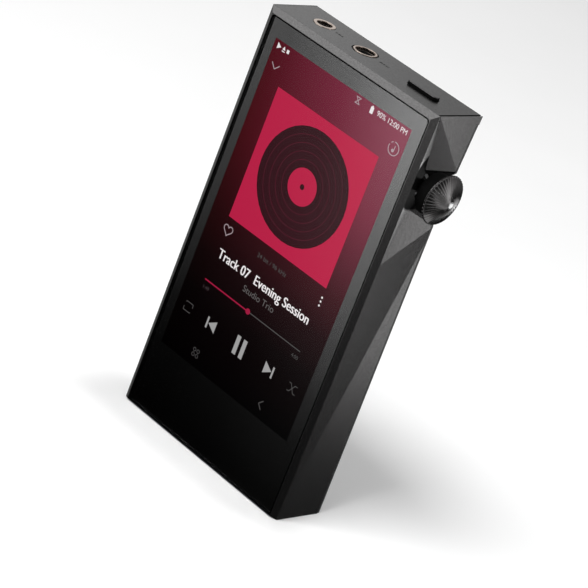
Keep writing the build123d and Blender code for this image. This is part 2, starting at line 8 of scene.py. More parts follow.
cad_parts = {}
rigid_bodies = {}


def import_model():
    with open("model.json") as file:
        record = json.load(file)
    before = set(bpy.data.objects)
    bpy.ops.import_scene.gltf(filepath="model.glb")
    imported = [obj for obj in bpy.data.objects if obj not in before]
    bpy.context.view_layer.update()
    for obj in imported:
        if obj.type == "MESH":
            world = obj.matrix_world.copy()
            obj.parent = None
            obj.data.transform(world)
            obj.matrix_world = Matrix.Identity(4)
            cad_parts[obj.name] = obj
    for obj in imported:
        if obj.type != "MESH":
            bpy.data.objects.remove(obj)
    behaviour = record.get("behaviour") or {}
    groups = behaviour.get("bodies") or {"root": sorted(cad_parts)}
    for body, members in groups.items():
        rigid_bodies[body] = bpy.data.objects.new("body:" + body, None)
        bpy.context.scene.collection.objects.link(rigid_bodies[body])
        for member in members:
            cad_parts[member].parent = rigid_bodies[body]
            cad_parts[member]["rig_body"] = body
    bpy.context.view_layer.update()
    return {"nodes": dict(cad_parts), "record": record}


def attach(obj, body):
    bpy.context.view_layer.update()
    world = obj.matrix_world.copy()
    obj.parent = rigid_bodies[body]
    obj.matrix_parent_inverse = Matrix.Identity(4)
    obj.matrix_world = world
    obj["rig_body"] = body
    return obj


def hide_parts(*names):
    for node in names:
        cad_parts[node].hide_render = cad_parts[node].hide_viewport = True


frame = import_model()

# A pocket digital audio player. Blender units are metres in the model's own frame:
# +Z up, the screen faces -Y, the volume knob is on the +X side.

MM = 0.001
BODY = "player_body"
nodes = frame["nodes"]


def mm(*values):
    """A point or size in metres from millimetres."""
    return Vector(values) * MM


# ---------------------------------------------------------------- materials

def principled(name, color, roughness, metallic=0.0, **sockets):
    """A Principled material; every constant is set on the shader's own socket."""
    material = bpy.data.materials.new(name)
    material.use_nodes = True
    shader = material.node_tree.nodes["Principled BSDF"]
    shader.inputs["Base Color"].default_value = (*color, 1.0)
    shader.inputs["Roughness"].default_value = roughness
    shader.inputs["Metallic"].default_value = metallic
    for socket, value in sockets.items():
        shader.inputs[socket.replace("_", " ")].default_value = value
    return material


def shader_of(material):
    return material.node_tree.nodes["Principled BSDF"]


def math_node(tree, operation, first, second=0.0):
    """One Math node; first and second are numbers or outputs of other nodes."""
    node = tree.nodes.new("ShaderNodeMath")
    node.operation = operation
    for socket, value in zip(node.inputs, (first, second)):
        if isinstance(value, (int, float)):
            socket.default_value = value
        else:
            tree.links.new(value, socket)
    return node.outputs[0]


def smooth_range(tree, value, start, end, low=0.0, high=1.0):
    """Eases from low to high as value goes from start to end."""
    node = tree.nodes.new("ShaderNodeMapRange")
    node.interpolation_type = "SMOOTHSTEP"
    node.inputs["From Min"].default_value = start
    node.inputs["From Max"].default_value = end
    node.inputs["To Min"].default_value = low
    node.inputs["To Max"].default_value = high
    tree.links.new(value, node.inputs["Value"])
    return node.outputs["Result"]


def axes_of(tree, vector):
    """The X, Y and Z parts of a vector."""
    node = tree.nodes.new("ShaderNodeSeparateXYZ")
    tree.links.new(vector, node.inputs["Vector"])
    return node.outputs


def noise(material, scale, detail=3.0, stretch=(1.0, 1.0, 1.0)):
    """Noise in the model's own coordinates, scale in cells per metre."""
    tree = material.node_tree
    coordinates = tree.nodes.new("ShaderNodeTexCoord")
    mapping = tree.nodes.new("ShaderNodeMapping")
    mapping.inputs["Scale"].default_value = stretch
    texture = tree.nodes.new("ShaderNodeTexNoise")
    texture.inputs["Scale"].default_value = scale
    texture.inputs["Detail"].default_value = detail
    tree.links.new(coordinates.outputs["Object"], mapping.inputs["Vector"])
    tree.links.new(mapping.outputs["Vector"], texture.inputs["Vector"])
    return texture.outputs["Fac"]


def ramp(material, value, low, high, start=0.3, end=0.7):
    """A colour between low and high as value goes from start to end."""
    node = material.node_tree.nodes.new("ShaderNodeValToRGB")
    node.color_ramp.elements[0].position = start
    node.color_ramp.elements[0].color = (*low, 1.0)
    node.color_ramp.elements[1].position = end
    node.color_ramp.elements[1].color = (*high, 1.0)
    material.node_tree.links.new(value, node.inputs["Fac"])
    return node.outputs["Color"]


def mottle(material, scale, low, high, **placing):
    """Colour variation between two tones."""
    color = ramp(material, noise(material, scale, **placing), low, high)
    material.node_tree.links.new(color, shader_of(material).inputs["Base Color"])


def vary_roughness(material, scale, low, high, **placing):
    """Roughness variation between two values."""
    tree = material.node_tree
    spread = tree.nodes.new("ShaderNodeMapRange")
    spread.inputs["From Min"].default_value = 0.3
    spread.inputs["From Max"].default_value = 0.7
    spread.inputs["To Min"].default_value = low
    spread.inputs["To Max"].default_value = high
    tree.links.new(noise(material, scale, **placing), spread.inputs["Value"])
    tree.links.new(spread.outputs["Result"], shader_of(material).inputs["Roughness"])


def bump(material, scale, depth, strength=1.0, **placing):
    """Fine surface relief; depth is in metres."""
    tree = material.node_tree
    relief = tree.nodes.new("ShaderNodeBump")
    relief.inputs["Strength"].default_value = strength
    relief.inputs["Distance"].default_value = depth
    tree.links.new(noise(material, scale, **placing), relief.inputs["Height"])
    tree.links.new(relief.outputs["Normal"], shader_of(material).inputs["Normal"])


def blasted_metal(name, tone, roughness, grain=3200.0):
    """Bead-blasted, dark anodised aluminium with a visible fine grain."""
    material = principled(name, (tone, tone, tone), roughness, metallic=1.0)
    low = tone * 0.80
    high = tone * 1.20
    cooler = 0.985
    dark_grain = (low, low * cooler, low * cooler)
    light_grain = (high, high * cooler, high * cooler)
    mottle(material, grain, dark_grain, light_grain, detail=2.0)
    vary_roughness(material, grain * 0.7, roughness - 0.03, roughness + 0.03)
    bump(material, grain * 1.3, 0.000005, strength=0.5)
    return material


def shade_groove(material):
    """Paints the groove behind the knob black where the knob hides it from the light.
    Lengths are in metres."""
    groove_axis = 0.0888
    full_shade = 0.0090
    no_shade = 0.0102
    reach_below = -1.65
    groove_floor = 0.0262
    housing_side = 0.0235
    shelf_height = 0.0936
    shelf_front = -0.0065
    darkest = 0.96

    tree = material.node_tree
    coordinates = tree.nodes.new("ShaderNodeTexCoord")
    place = axes_of(tree, coordinates.outputs["Object"])
    facing_way = axes_of(tree, coordinates.outputs["Normal"])

    above_axis = math_node(tree, "SUBTRACT", place["Z"], groove_axis)
    rise = math_node(tree, "MAXIMUM", above_axis, math_node(tree, "MULTIPLY", above_axis, reach_below))
    rise_square = math_node(tree, "MULTIPLY", rise, rise)
    across_square = math_node(tree, "MULTIPLY", place["Y"], place["Y"])
    distance = math_node(tree, "SQRT", math_node(tree, "ADD", rise_square, across_square))
    near = smooth_range(tree, distance, full_shade, no_shade, 1.0, 0.0)

    wall = math_node(tree, "GREATER_THAN", facing_way["Y"], 0.2)
    deep = math_node(tree, "LESS_THAN", place["X"], groove_floor)
    right = math_node(tree, "GREATER_THAN", place["X"], housing_side)
    below_shelf = math_node(tree, "LESS_THAN", place["Z"], shelf_height)
    behind_front = math_node(tree, "GREATER_THAN", place["Y"], shelf_front)
    under_shelf = math_node(tree, "MULTIPLY", below_shelf, behind_front)
    facing_down = math_node(tree, "LESS_THAN", facing_way["Z"], -0.5)
    overhung = math_node(tree, "MAXIMUM", under_shelf, facing_down)
    hidden = math_node(tree, "MAXIMUM", math_node(tree, "MAXIMUM", wall, deep), overhung)

    inside = math_node(tree, "MULTIPLY", hidden, right)
    dark = math_node(tree, "MULTIPLY", inside, near)
    keep = math_node(tree, "SUBTRACT", 1.0, math_node(tree, "MULTIPLY", dark, darkest))
    base = shader_of(material).inputs["Base Color"]
    color = base.links[0].from_socket
    scale = tree.nodes.new("ShaderNodeVectorMath")
    scale.operation = "SCALE"
    tree.links.new(color, scale.inputs[0])
    tree.links.new(keep, scale.inputs["Scale"])
    tree.links.new(scale.outputs[0], base)
    tree.links.new(keep, shader_of(material).inputs["Metallic"])
    shader_of(material).inputs["Specular IOR Level"].default_value = 0.0


def moulded(name, color, roughness, grain=2500.0, depth=0.00001, specular=0.5):
    """Moulded plastic, rubber or epoxy with a fine texture."""
    material = principled(name, color, roughness, Specular_IOR_Level=specular)
    low = [channel * 0.82 for channel in color]
    high = [min(1.0, channel * 1.18) for channel in color]
    mottle(material, grain * 0.3, low, high)
    bump(material, grain, depth, strength=0.4)
    return material


def worked_metal(name, color, roughness, grain=1500.0, stretch=(1.0, 1.0, 1.0)):
    """Bright metal with fine tool marks."""
    material = principled(name, color, roughness, metallic=1.0)
    low = [channel * 0.85 for channel in color]
    high = [min(1.0, channel * 1.1) for channel in color]
    mottle(material, grain, low, high, stretch=stretch)
    vary_roughness(material, grain, max(0.02, roughness - 0.05), roughness + 0.06, stretch=stretch)
    bump(material, grain, 0.000004, strength=0.3, stretch=stretch)
    return material


def clear_glass(name):
    """Polished cover glass with an anti-reflective coating."""
    material = principled(name, (1.0, 1.0, 1.0), 0.0, IOR=1.28, Transmission_Weight=1.0)
    mottle(material, 60.0, (0.99, 0.99, 0.99), (1.0, 1.0, 1.0))
    return material


def place_along(tree, direction):
    """Distance in millimetres along a direction of the model's own frame."""
    coordinates = tree.nodes.new("ShaderNodeTexCoord")
    dot = tree.nodes.new("ShaderNodeVectorMath")
    dot.operation = "DOT_PRODUCT"
    dot.inputs[1].default_value = [part / MM for part in direction]
    tree.links.new(coordinates.outputs["Object"], dot.inputs[0])
    return dot.outputs["Value"]


def color_stops(tree, value, stops):
    """A colour that changes along value; stops are (millimetres, colour or level)."""
    first = stops[0][0]
    span = stops[-1][0] - first
    fraction = math_node(tree, "DIVIDE", math_node(tree, "SUBTRACT", value, first), span)
    node = tree.nodes.new("ShaderNodeValToRGB")
    elements = node.color_ramp.elements
    for step, (position, tone) in enumerate(stops):
        color = tone if isinstance(tone, tuple) else (tone, tone, tone)
        if step == 0:
            element = elements[0]
        elif step == len(stops) - 1:
            element = elements[-1]
        else:
            element = elements.new((position - first) / span)
        element.color = (*color, 1.0)
    tree.links.new(fraction, node.inputs["Fac"])
    return node.outputs["Color"]


def multiplied(tree, first, second):
    """Two colours multiplied together."""
    node = tree.nodes.new("ShaderNodeVectorMath")
    node.operation = "MULTIPLY"
    tree.links.new(first, node.inputs[0])
    tree.links.new(second, node.inputs[1])
    return node.outputs[0]


def lit_picture(name, direction, stops, cross=None, cross_stops=None):
    """A lit part of the screen whose colour changes along one direction, or along two."""
    material = principled(name, (0.0, 0.0, 0.0), 0.4, Emission_Strength=1.0, Specular_IOR_Level=0.0)
    tree = material.node_tree
    color = color_stops(tree, place_along(tree, direction), stops)
    if cross is not None:
        color = multiplied(tree, color, color_stops(tree, place_along(tree, cross), cross_stops))
    tree.links.new(color, shader_of(material).inputs["Emission Color"])
    return material


def black_print(name):
    """Glossy print on the back of the glass, with painted reflection that makes it lighter towards the left
    edge.
    """
    material = principled(name, (0.2, 0.2, 0.2), 0.03, metallic=1.0)
    tree = material.node_tree
    # Painted reflection: the print grows more reflective towards the left edge.
    tone = color_stops(tree, place_along(tree, (1.0, 0.0, 0.0)), [(-26, 0.31), (0, 0.24), (26, 0.18)])
    tree.links.new(tone, shader_of(material).inputs["Base Color"])
    vary_roughness(material, 600.0, 0.02, 0.04)
    return material


def make_materials():
    made = {
        "anodised_body": blasted_metal("anodised_body", 0.20, 0.24),
        "rear_panel": blasted_metal("rear_panel", 0.11, 0.30, grain=4200.0),
        "cover_glass": clear_glass("cover_glass"),
        "black_print": black_print("black_print"),
        "screen": moulded("screen", (0.012, 0.012, 0.014), 0.3),
        "black_adhesive": moulded("black_adhesive", (0.008, 0.008, 0.008), 0.8),
        "white_plastic": moulded("white_plastic", (0.7, 0.7, 0.7), 0.5),
        "circuit_board": moulded("circuit_board", (0.01, 0.05, 0.03), 0.35, grain=900.0),
        "flex_film": moulded("flex_film", (0.35, 0.16, 0.03), 0.35),
        "frame_metal": worked_metal("frame_metal", (0.45, 0.46, 0.47), 0.4),
        "steel": worked_metal("steel", (0.5, 0.5, 0.51), 0.3, stretch=(1.0, 1.0, 8.0)),
        "brass_fittings": worked_metal("brass_fittings", (0.72, 0.52, 0.22), 0.28),
        "rose_gold": worked_metal("rose_gold", (1.0, 0.80, 0.70), 0.18, grain=2600.0),
        "black_plastic": moulded("black_plastic", (0.012, 0.012, 0.012), 0.45),
        "chip_epoxy": moulded("chip_epoxy", (0.02, 0.02, 0.02), 0.6),
        "capacitor_body": moulded("capacitor_body", (0.5, 0.3, 0.05), 0.45),
        "switch_plastic": moulded("switch_plastic", (0.03, 0.03, 0.03), 0.5),
        "battery_wrap": worked_metal("battery_wrap", (0.06, 0.06, 0.07), 0.4),
        "wire_red": moulded("wire_red", (0.5, 0.02, 0.02), 0.45),
        "knob_metal": worked_metal("knob_metal", (0.17, 0.165, 0.165), 0.2, grain=5000.0),
        "knob_tip": worked_metal("knob_tip", (0.75, 0.75, 0.75), 0.12, grain=5000.0),
        # Near-black and hardly reflecting, used as painted shade: on the knob's drum, the encoder, the seams,
        # the slots and the glass edges.
        "knob_drum": moulded("knob_drum", (0.0025, 0.0025, 0.0025), 0.7, specular=0.1),
        "light_plastic": moulded("light_plastic", (0.25, 0.25, 0.26), 0.3),
    }
    shade_groove(made["anodised_body"])
    # The knob's metal reflects little at a glancing angle.
    shader_of(made["knob_metal"]).inputs["Specular Tint"].default_value = (0.4, 0.4, 0.4, 1.0)
    return made


materials = make_materials()
slot_of_node = {entry["node"]: entry["material_slot"] for entry in frame["record"]["subparts"]}
for node_name, node in nodes.items():
    node.data.materials.clear()
    node.data.materials.append(materials[slot_of_node[node_name]])
# Painted shade: the encoder's metal behind the knob takes the drum's near-black, for the shadow the knob
# casts there.
for node_name in ("encoder_nut", "encoder_bushing", "encoder_shaft"):
    nodes[node_name].data.materials[0] = materials["knob_drum"]


# ---------------------------------------------------------------- helpers for pieces

def new_object(name, mesh, slot, body=BODY, smooth_angle=None):
    """A piece of the player with its body, and with the material of its record slot when the mesh has none.
    """
    piece = bpy.data.objects.new(name, mesh)
    bpy.context.scene.collection.objects.link(piece)
    if not mesh.materials:
        mesh.materials.append(materials[slot])
    if smooth_angle is not None:
        mesh.shade_smooth()
        mesh.set_sharp_from_angle(angle=math.radians(smooth_angle))
    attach(piece, body)
    return piece


def apply_modifiers(piece):
    """Turns the piece's modifiers into plain mesh."""
    depsgraph = bpy.context.evaluated_depsgraph_get()
    finished = bpy.data.meshes.new_from_object(piece.evaluated_get(depsgraph))
    piece.modifiers.clear()
    piece.data = finished


def flatten_faces(mesh, narrow=0.16, alike=0.3):
    """Broad faces shade flat; narrow ones, such as a rounded edge, blend into the faces beside them.
    A face counts as narrow below that many millimetres, and blends only with faces that turn alike."""
    mesh.shade_smooth()
    normals = [polygon.normal.copy() for polygon in mesh.polygons]
    around = [[] for _ in mesh.vertices]
    broad = []
    for polygon in mesh.polygons:
        corners = [mesh.vertices[index].co for index in polygon.vertices]
        outline = sum((a - b).length for a, b in zip(corners, corners[1:] + corners[:1]))
        broad.append(outline > 0 and 2 * polygon.area / outline > narrow * MM)
        for index in polygon.vertices:
            around[index].append((polygon.index, polygon.area))
    loop_normals = []
    for polygon in mesh.polygons:
        own = normals[polygon.index]
        for index in polygon.vertices:
            if broad[polygon.index]:
                loop_normals.append(own)
                continue
            total = Vector((0.0, 0.0, 0.0))
            for other, area in around[index]:
                if normals[other].dot(own) > alike:
                    total += normals[other] * area
            loop_normals.append(total.normalized() if total.length > 0 else own)
    mesh.normals_split_custom_set(loop_normals)


def softened(node_name, width, segments=2, angle=28.0, adjust=None, in_shadow=None):
    """A copy of a CAD node with its sharp edges slightly rounded; it stands for the node.
    adjust moves the copy's points before the rounding, and in_shadow says which faces take the near-black
    material as painted shade."""
    node = nodes[node_name]
    body = node["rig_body"]
    mesh = node.data.copy()
    work = bmesh.new()
    work.from_mesh(mesh)
    bmesh.ops.remove_doubles(work, verts=work.verts, dist=1e-7)
    bmesh.ops.dissolve_limit(
        work,
        angle_limit=math.radians(0.3),
        verts=work.verts,
        edges=work.edges,
        delimit={"NORMAL"},
    )
    if adjust is not None:
        for vertex in work.verts:
            adjust(vertex.co)
    work.to_mesh(mesh)
    work.free()
    mesh.name = node_name + "_soft"
    piece = new_object(node_name + "_finished", mesh, slot_of_node[node_name], body)
    if width > 0:
        bevel = piece.modifiers.new("edges", "BEVEL")
        bevel.width = width * MM
        bevel.segments = segments
        bevel.limit_method = "ANGLE"
        bevel.angle_limit = math.radians(angle)
        apply_modifiers(piece)
    flatten_faces(piece.data)
    # Painted shade: the faces that in_shadow picks are given the near-black material.
    if in_shadow is not None:
        piece.data.materials.append(materials["knob_drum"])
        for polygon in piece.data.polygons:
            if in_shadow(polygon.center / MM, polygon.normal):
                polygon.material_index = 1
    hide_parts(node_name)
    return piece


# ---------------------------------------------------------------- camera

def make_camera():
    """A long lens that looks down at the player from its right front, rolled to one side."""
    position = mm(388.0, -507.7, 298.7)
    target = mm(3.16, 0.0, 47.2)
    roll = math.radians(21.59)
    data = bpy.data.cameras.new("camera")
    data.lens = 175.4
    data.sensor_width = 36.0
    data.clip_start = 0.01
    data.clip_end = 20.0
    camera = bpy.data.objects.new("camera", data)
    aim = (target - position).to_track_quat("-Z", "Y").to_matrix().to_4x4()
    camera.matrix_world = Matrix.Translation(position) @ aim @ Matrix.Rotation(roll, 4, "Z")
    bpy.context.scene.collection.objects.link(camera)
    bpy.context.scene.camera = camera


make_camera()


# ---------------------------------------------------------------- floor and light

def make_floor():
    bpy.ops.mesh.primitive_plane_add(size=6.0)
    floor = bpy.context.object
    floor.name = "floor"
    paper = principled("floor_paper", (0.86, 0.86, 0.86), 0.9)
    mottle(paper, 12.0, (0.85, 0.85, 0.85), (0.87, 0.87, 0.87))
    floor.data.materials.append(paper)
    floor.visible_glossy = False
    floor.visible_transmission = False


def make_world(strength, in_reflections, room_level):
    """An even white room that shows much weaker in the metal's reflections, where it is
    in_reflections everywhere and room_level brighter above and to the left."""
    world = bpy.data.worlds.new("studio")
    world.use_nodes = True
    tree = world.node_tree
    background = tree.nodes["Background"]
    background.inputs["Color"].default_value = (1.0, 1.0, 1.0, 1.0)
    path = tree.nodes.new("ShaderNodeLightPath")
    direct = math_node(tree, "MAXIMUM", path.outputs["Is Camera Ray"], path.outputs["Is Diffuse Ray"])
    coordinates = tree.nodes.new("ShaderNodeTexCoord")
    way = axes_of(tree, coordinates.outputs["Generated"])
    above = smooth_range(tree, way["Z"], 0.0, 0.6)
    leftward = math_node(tree, "SUBTRACT", math_node(tree, "MULTIPLY", way["Y"], 0.5), way["X"])
    behind = smooth_range(tree, leftward, 0.3, 0.9)
    over_floor = smooth_range(tree, way["Z"], -0.50, -0.30)
    left_lobe = math_node(tree, "MULTIPLY", behind, over_floor)
    brightest = math_node(tree, "MAXIMUM", above, left_lobe)
    open_room = math_node(tree, "MULTIPLY", brightest, room_level)
    mirrored = math_node(tree, "ADD", open_room, in_reflections)
    blend = tree.nodes.new("ShaderNodeMix")
    blend.data_type = "FLOAT"
    tree.links.new(direct, blend.inputs["Factor"])
    tree.links.new(mirrored, blend.inputs["A"])
    blend.inputs["B"].default_value = strength
    tree.links.new(blend.outputs["Result"], background.inputs["Strength"])
    bpy.context.scene.world = world


def facing(place, aim):
    """A matrix at place whose -Z axis points at aim, both in millimetres."""
    direction = mm(*aim) - mm(*place)
    return Matrix.Translation(mm(*place)) @ direction.to_track_quat("-Z", "Y").to_matrix().to_4x4()


def softbox(name, place, aim, size, power):
    """A soft lamp that the metal doesn't mirror; the cards below do that."""
    data = bpy.data.lights.new(name, "AREA")
    data.shape = "RECTANGLE"
    data.size = size[0] * MM
    data.size_y = size[1] * MM
    data.energy = power
    light = bpy.data.objects.new(name, data)
    light.matrix_world = facing(place, aim)
    light.visible_glossy = False
    bpy.context.scene.collection.objects.link(light)


def card(name, corner_low, corner_high, across, across_stops, up_stops, peak=1.0):
    """A lit card seen only in reflections. It is upright, with a flat side along X or Y (across)."""
    low = mm(*corner_low)
    high = mm(*corner_high)
    middle = (low + high) / 2
    size = high - low
    mesh = bpy.data.meshes.new(name)
    wide = (size.x, 0) if across == "X" else (0, size.y)
    corners = [
        (-wide[0], -wide[1], -size.z),
        (wide[0], wide[1], -size.z),
        (wide[0], wide[1], size.z),
        (-wide[0], -wide[1], size.z),
    ]
    mesh.from_pydata([Vector(corner) / 2 + middle for corner in corners], [], [(0, 1, 2, 3)])
    sheet = bpy.data.objects.new(name, mesh)
    bpy.context.scene.collection.objects.link(sheet)
    material = bpy.data.materials.new(name)
    material.use_nodes = True
    tree = material.node_tree
    tree.nodes.clear()
    output = tree.nodes.new("ShaderNodeOutputMaterial")
    glow = tree.nodes.new("ShaderNodeEmission")
    glow.inputs["Strength"].default_value = peak
    along = (1.0, 0.0, 0.0) if across == "X" else (0.0, 1.0, 0.0)
    level = multiplied(
        tree,
        color_stops(tree, place_along(tree, along), across_stops),
        color_stops(tree, place_along(tree, (0.0, 0.0, 1.0)), up_stops),
    )
    tree.links.new(level, glow.inputs["Color"])
    tree.links.new(glow.outputs["Emission"], output.inputs["Surface"])
    material.cycles.emission_sampling = "NONE"
    mesh.materials.append(material)
    sheet.visible_camera = False
    sheet.visible_diffuse = False
    sheet.visible_shadow = False


make_floor()
make_world(0.32, 0.04, 0.22)
softbox("key", (-96, -720, 1520), (0, 0, 30), (640, 520), 23.5)
softbox("overhead", (55, 80, 1000), (0, 0, 30), (90, 90), 2.7)

# The planes that the cards stand in, in millimetres.
FRONT = -158
BACK = 208
RIGHT = 229

# In front of the glass: brightest at the upper right, black at the foot.
card(
    "front_card", (-400, FRONT, -400), (-50, FRONT, 80), "X",
    [(-400, 0.10), (-142, 0.19), (-131, 0.27), (-114, 0.41), (-86, 0.93), (-50, 1.0)],
    [
        (-400, 0.0), (-110, 0.003), (-84, 0.008), (-66, 0.02), (-49, 0.055), (-29, 0.17),
        (-9, 0.31), (11, 0.44), (29, 0.60), (50, 0.75), (80, 0.8),
    ],
    peak=1.6,
)
# In front and to the right: the slope along the glass's right edge.
card(
    "front_right_card", (60, FRONT, -100), (170, FRONT, 90), "X",
    [(60, 0.8), (170, 0.8)],
    [(-100, 0.01), (-69, 0.02), (-44, 0.035), (-24, 0.065), (-4, 0.12), (16, 0.11), (36, 0.30), (90, 0.45)],
)
# To the right and behind: the facets of the knob's side.
card(
    "side_card_near", (RIGHT, 120, -160), (RIGHT, 222, 90), "Y",
    [(120, 1.0), (222, 1.0)],
    [(-160, 0.0), (-91, 0.038), (-40, 0.055), (20, 0.23), (90, 0.26)],
)
card(
    "side_card_middle", (RIGHT, 222, -160), (RIGHT, 296, 90), "Y",
    [(222, 1.0), (296, 1.0)],
    [(-160, 0.0), (-122, 0.0), (-108, 0.04), (-95, 0.22), (-80, 0.66), (-65, 1.0), (-40, 0.75), (90, 0.6)],
    peak=2.1,
)
card(
    "side_card_far", (RIGHT, 296, -200), (RIGHT, 470, 90), "Y",
    [(296, 1.0), (470, 1.0)],
    [(-200, 0.0), (-147, 0.0), (-133, 0.03), (-118, 0.03), (-103, 0.0), (-87, 0.0), (90, 0.05)],
)
# To the right and in front of those: the knob's fluted cone.
card(
    "knob_card", (RIGHT, -60, -120), (RIGHT, 119, 230), "Y",
    [(-60, 0.4), (-10, 0.6), (40, 1.0), (119, 1.0)],
    [(-120, 0.6), (-50, 0.6), (-35, 0.36), (95, 0.36), (112, 1.0), (160, 1.0), (175, 0.3), (230, 0.3)],
    peak=1.7,
)
# Behind: the narrow faces beside the knob's groove.
card(
    "back_card", (-90, BACK, -110), (90, BACK, 80), "X",
    [(-90, 1.0), (15, 1.0), (45, 0.5), (90, 0.35)],
    [(-110, 0.17), (-30, 0.36), (-6, 0.50), (14, 1.0), (80, 1.0)],
    peak=2.5,
)
# Behind, above and to the left: the top.
card(
    "top_card", (-260, BACK, 120), (-60, BACK, 300), "X",
    [(-260, 0.62), (-176, 0.54), (-128, 0.36), (-60, 0.32)],
    [(120, 1.0), (300, 1.0)],
)
# In front, above and to the left: the slope along the glass's top edge.
card(
    "upper_card", (-330, FRONT, 110), (20, FRONT, 430), "X",
    [(-330, 1.0), (20, 1.0)],
    [(110, 1.0), (430, 1.0)],
    peak=1.1,
)


# ---------------------------------------------------------------- finished shells

# How far the glass's thickness moves what lies behind it, as seen from the camera.
SEEN_SHIFT = (-0.42, -0.28)
GLASS_MIDDLE_Z = 53.0
GLASS_TRIM = 0.20
GLASS_BACK = -7.43
PRINT_GAP = 0.03
SEAM_X = 28.35
SEAM_OPENING = 0.12
CAP_TRIM = 0.13
WINDOW_HALF_WIDTH = 23.6
WINDOW_BOTTOM = 18.8
WINDOW_TOP = 102.4
POCKET_HALF_WIDTH = 27.05
POCKET_BOTTOM = 0.40
POCKET_TOP = 106.75
BUTTON_X = 16.3


def trim_glass(point):
    """A clear dark line round the glass, and its back a hair clear of the print behind it."""
    point.x -= math.copysign(GLASS_TRIM * MM, point.x)
    point.z -= math.copysign(GLASS_TRIM * MM, point.z - GLASS_MIDDLE_Z * MM)
    if point.y > GLASS_BACK * MM:
        point.y -= PRINT_GAP * MM


def open_seam(point):
    """Widens the seam between the top cap and the knob's side."""
    if abs(point.x - SEAM_X * MM) < 0.02 * MM and point.z > 106.9 * MM:
        point.x += SEAM_OPENING * MM


def shift_window(point):
    """Sets the print's window where it is seen through the glass's thickness."""
    if abs(point.x) < WINDOW_HALF_WIDTH * MM and WINDOW_BOTTOM * MM < point.z < WINDOW_TOP * MM:
        point.x += SEEN_SHIFT[0] * MM
        point.z += SEEN_SHIFT[1] * MM


def trim_cap(point):
    """Draws the top cap's end back from the seam."""
    if point.x > 28.0 * MM:
        point.x -= CAP_TRIM * MM


def painted_shade_gaps(center, normal):
    """Painted shade: the top cap's seam, and the walls of the pocket round the glass."""
    in_seam = 27.8 < center.x < 28.7 and center.z > 106.9 and (normal.x < -0.3 or center.z < 107.2)
    in_outline = abs(center.x) < POCKET_HALF_WIDTH and POCKET_BOTTOM < center.z < POCKET_TOP
    in_pocket = in_outline and center.y < -6.9 and abs(normal.y) < 0.4
    return in_seam or in_pocket


def painted_shade_seam_wall(center, normal):
    """Painted shade: the top cap's end towards the seam, and the wall of the power button's slot."""
    in_slot = abs(center.x - BUTTON_X) < 5.1 and abs(center.y) < 1.4 and abs(normal.z) < 0.9
    return in_slot or (normal.x > 0.3 and center.x > 27.5)


def painted_shade_button_side(center, normal):
    """Painted shade: the power button's sides, and what lies under it."""
    return normal.z < 0.3


def inked_and_shaded_glass_edge(center, normal):
    """The glass's edges all round: black edge ink, and painted shade where the edges would catch light."""
    return abs(normal.y) < 0.6


softened("main_housing", 0.10, adjust=open_seam, in_shadow=painted_shade_gaps)
softened("top_cap", 0.10, adjust=trim_cap, in_shadow=painted_shade_seam_wall)
softened("back_cover", 0.12)
softened("front_glass", 0.05, adjust=trim_glass, in_shadow=inked_and_shaded_glass_edge)
softened("bezel_mask", 0.0, adjust=shift_window)
softened("jack_3_5_ring", 0.10)
softened("jack_4_4_ring", 0.08)
softened("power_button", 0.0, in_shadow=painted_shade_button_side)


# ---------------------------------------------------------------- what the screen shows

# The layers of the picture, from the back to the front.
PICTURE_Y = -7.358
ART_Y = -7.367
ART_STEP = 0.002
MARK_Y = -7.376
SCREEN_MIDDLE_Z = 60.6
SCREEN_WIDTH = 46.8
SCREEN_HEIGHT = 83.2
ART_HALF_WIDTH = 17.5
ART_BOTTOM = 57.4
ART_TOP = 92.2


def flat_piece(name, shapes, depth, material):
    """Flat shapes facing -Y. Each shape is a list of (x, z) points in millimetres, counter-clockwise."""
    mesh = bpy.data.meshes.new(name)
    points = []
    faces = []
    for shape in shapes:
        faces.append(tuple(range(len(points), len(points) + len(shape))))
        points.extend(mm(x + SEEN_SHIFT[0], depth, z + SEEN_SHIFT[1]) for x, z in shape)
    mesh.from_pydata(points, [], faces)
    mesh.materials.append(material)
    return new_object(name, mesh, "screen")


def arc(x, z, radius, start=0.0, end=360.0, steps=40):
    """Points on an arc; angles in degrees from +X towards +Z."""
    turns = [math.radians(start + (end - start) * step / steps) for step in range(steps + 1)]
    return [(x + radius * math.cos(turn), z + radius * math.sin(turn)) for turn in turns]


def disc(x, z, radius):
    """A full circle's points."""
    return arc(x, z, radius)[:-1]


def stroke(points, width, closed=False):
    """A line drawn as one quad per stretch, with square ends."""
    shapes = []
    ends = points + [points[0]] if closed else points
    for (x0, z0), (x1, z1) in zip(ends, ends[1:]):
        length = math.hypot(x1 - x0, z1 - z0)
        across_x = -(z1 - z0) / length * width / 2
        across_z = (x1 - x0) / length * width / 2
        shapes.append([
            (x0 - across_x, z0 - across_z),
            (x1 - across_x, z1 - across_z),
            (x1 + across_x, z1 + across_z),
            (x0 + across_x, z0 + across_z),
        ])
    return shapes


def block(x, z, width, height):
    """A rectangle about its centre."""
    return [
        (x - width / 2, z - height / 2),
        (x + width / 2, z - height / 2),
        (x + width / 2, z + height / 2),
        (x - width / 2, z + height / 2),
    ]


